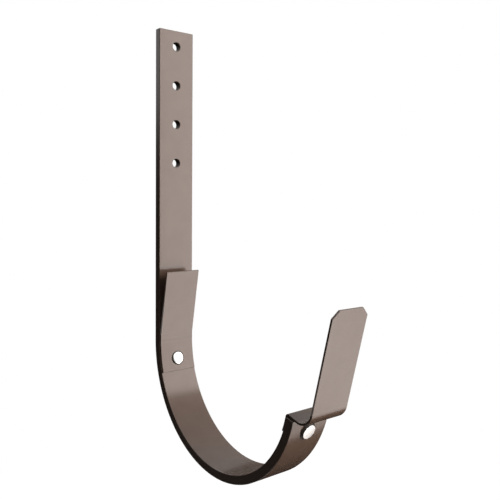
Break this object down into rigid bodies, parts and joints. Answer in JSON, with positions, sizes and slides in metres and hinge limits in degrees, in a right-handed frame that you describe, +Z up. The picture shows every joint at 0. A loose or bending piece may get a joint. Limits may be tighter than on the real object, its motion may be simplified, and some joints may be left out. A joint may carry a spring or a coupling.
{
  "type": "gutter bracket",
  "caption": "Flat-bar hook that carries a half-round gutter by its screwed leg, with riveted sheet clips that fold over the gutter's edges.",
  "frame": {"origin": "centre of the row of screw holes, on the back face of the strap", "axes": "+Z up along the leg, X along the gutter, -Y towards the hook's open front"},
  "size_m": [0.025, 0.1591, 0.2675],
  "materials": {
    "strap_coat": "glossy brown polyester coat on hot-rolled flat bar",
    "clip_coat": "glossy brown polyester coat on galvanised sheet",
    "rivet_metal": "bright zinc plate"
  },
  "bodies": {
    "root": {"leg": "strap_coat", "hook": "strap_coat", "rear_clip": "clip_coat", "front_clip": "clip_coat", "rear_rivet": "rivet_metal", "front_rivet": "rivet_metal"}
  },
  "joints": []
}
